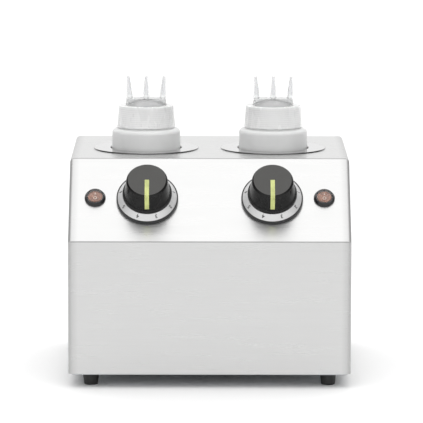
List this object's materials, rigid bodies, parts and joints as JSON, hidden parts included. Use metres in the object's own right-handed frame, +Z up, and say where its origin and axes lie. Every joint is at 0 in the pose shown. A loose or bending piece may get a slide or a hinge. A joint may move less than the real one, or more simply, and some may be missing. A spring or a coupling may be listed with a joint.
{
  "type": "sauce bottle warmer",
  "caption": "Steel bench warmer with heated wells for squeeze bottles, a sloping panel with thermostat knobs and lit rocker switches, and nozzle caps.",
  "frame": {"origin": "on the bench under the middle of the whole object, gland included", "axes": "+Z up, +X to the right seen from the control panel, +Y towards the rear panel"},
  "size_m": [0.3, 0.2943, 0.3144],
  "materials": {
    "brushed_stainless": "brushed",
    "galvanised_sheet": "zinc coated",
    "zinc_fastener": "zinc plated",
    "foot_rubber": "matt",
    "black_nylon": "satin",
    "seal_rubber": "matt",
    "knob_black": "satin",
    "pointer_lime": "satin",
    "dial_aluminium": "satin with printed marks",
    "terminal_nylon": "moulded",
    "copper": "plain",
    "glass_wool": "fibrous",
    "wire_sleeve": "silicone sleeve",
    "lens_amber": "translucent",
    "clear_cover": "clear moulded",
    "bottle_milky": "translucent, satin",
    "collar_milky": "translucent, ribbed",
    "nozzle_clear": "clear moulded"
  },
  "bodies": {
    "root": {"casing_shell": "brushed_stainless", "rear_panel": "brushed_stainless", "base_plate": "galvanised_sheet", "foot_front_left": "foot_rubber", "foot_front_right": "foot_rubber", "foot_rear_left": "foot_rubber", "foot_rear_right": "foot_rubber", "foot_screws": "zinc_fastener", "foot_nuts": "zinc_fastener", "base_screws": "zinc_fastener", "rear_screws": "zinc_fastener", "bridge_screws": "zinc_fastener", "well_bridge": "galvanised_sheet", "cup_nuts": "zinc_fastener", "cable_gland": "black_nylon", "gland_seal": "seal_rubber", "gland_nut": "black_nylon", "gland_locknut": "black_nylon", "terminal_block": "terminal_nylon", "terminal_screws": "copper", "earth_stud": "zinc_fastener", "earth_lead": "wire_sleeve", "band_clamp_screws": "zinc_fastener", "thermostat_screws": "zinc_fastener", "well_cup_left": "brushed_stainless", "well_cup_right": "brushed_stainless", "band_heater_left": "galvanised_sheet", "band_heater_right": "galvanised_sheet", "insulation_left": "glass_wool", "insulation_right": "glass_wool", "cutout_left": "terminal_nylon", "cutout_right": "terminal_nylon", "thermostat_left": "terminal_nylon", "thermostat_right": "terminal_nylon", "sensor_left": "copper", "sensor_right": "copper", "dial_skirt_left": "black_nylon", "dial_skirt_right": "black_nylon", "dial_ring_left": "dial_aluminium", "dial_ring_right": "dial_aluminium", "switch_body_left": "black_nylon", "switch_body_right": "black_nylon", "switch_cover_left": "clear_cover", "switch_cover_right": "clear_cover", "leads_left": "wire_sleeve", "leads_right": "wire_sleeve"},
    "knob_left": {"knob_left": "knob_black", "pointer_left": "pointer_lime", "thermostat_shaft_left": "zinc_fastener"},
    "rocker_left": {"rocker_left": "lens_amber"},
    "bottle_left": {"bottle_left": "bottle_milky"},
    "nozzle_left": {"nozzle_left": "nozzle_clear"},
    "collar_left": {"collar_left": "collar_milky"},
    "knob_right": {"knob_right": "knob_black", "pointer_right": "pointer_lime", "thermostat_shaft_right": "zinc_fastener"},
    "rocker_right": {"rocker_right": "lens_amber"},
    "bottle_right": {"bottle_right": "bottle_milky"},
    "nozzle_right": {"nozzle_right": "nozzle_clear"},
    "collar_right": {"collar_right": "collar_milky"}
  },
  "joints": [
    {"name": "knob_left_turn", "type": "hinge", "parent": "root", "child": "knob_left", "pos_m": [-0.0664, -0.1079, 0.19625], "axis": [0, -0.7071, 0.7071], "range_deg": [-140, 140]},
    {"name": "knob_right_turn", "type": "hinge", "parent": "root", "child": "knob_right", "pos_m": [0.0664, -0.1079, 0.19625], "axis": [0, -0.7071, 0.7071], "range_deg": [-140, 140]},
    {"name": "rocker_left_press", "type": "hinge", "parent": "root", "child": "rocker_left", "pos_m": [-0.1219, -0.10557, 0.19646], "axis": [1, 0, 0], "range_deg": [0, 14]},
    {"name": "rocker_right_press", "type": "hinge", "parent": "root", "child": "rocker_right", "pos_m": [0.1219, -0.10557, 0.19646], "axis": [1, 0, 0], "range_deg": [0, 14]},
    {"name": "bottle_left_lift", "type": "slide", "parent": "root", "child": "bottle_left", "axis": [0, 0, 1], "range_m": [0, 0.2]},
    {"name": "bottle_right_lift", "type": "slide", "parent": "root", "child": "bottle_right", "axis": [0, 0, 1], "range_m": [0, 0.2]},
    {"name": "nozzle_left_rise", "type": "slide", "parent": "bottle_left", "child": "nozzle_left", "axis": [0, 0, 1], "range_m": [0, 0.00847]},
    {"name": "collar_left_turn", "type": "hinge", "parent": "nozzle_left", "child": "collar_left", "pos_m": [-0.0695, 0.01885, 0.2597], "axis": [0, 0, 1], "range_deg": [0, 720]},
    {"name": "nozzle_right_rise", "type": "slide", "parent": "bottle_right", "child": "nozzle_right", "axis": [0, 0, 1], "range_m": [0, 0.00847]},
    {"name": "collar_right_turn", "type": "hinge", "parent": "nozzle_right", "child": "collar_right", "pos_m": [0.0695, 0.01885, 0.2597], "axis": [0, 0, 1], "range_deg": [0, 720]}
  ],
  "couplings": [
    {"joint": "nozzle_left_rise", "follows": "collar_left_turn", "m_per_rad": 0.00067322},
    {"joint": "nozzle_right_rise", "follows": "collar_right_turn", "m_per_rad": 0.00067322}
  ]
}
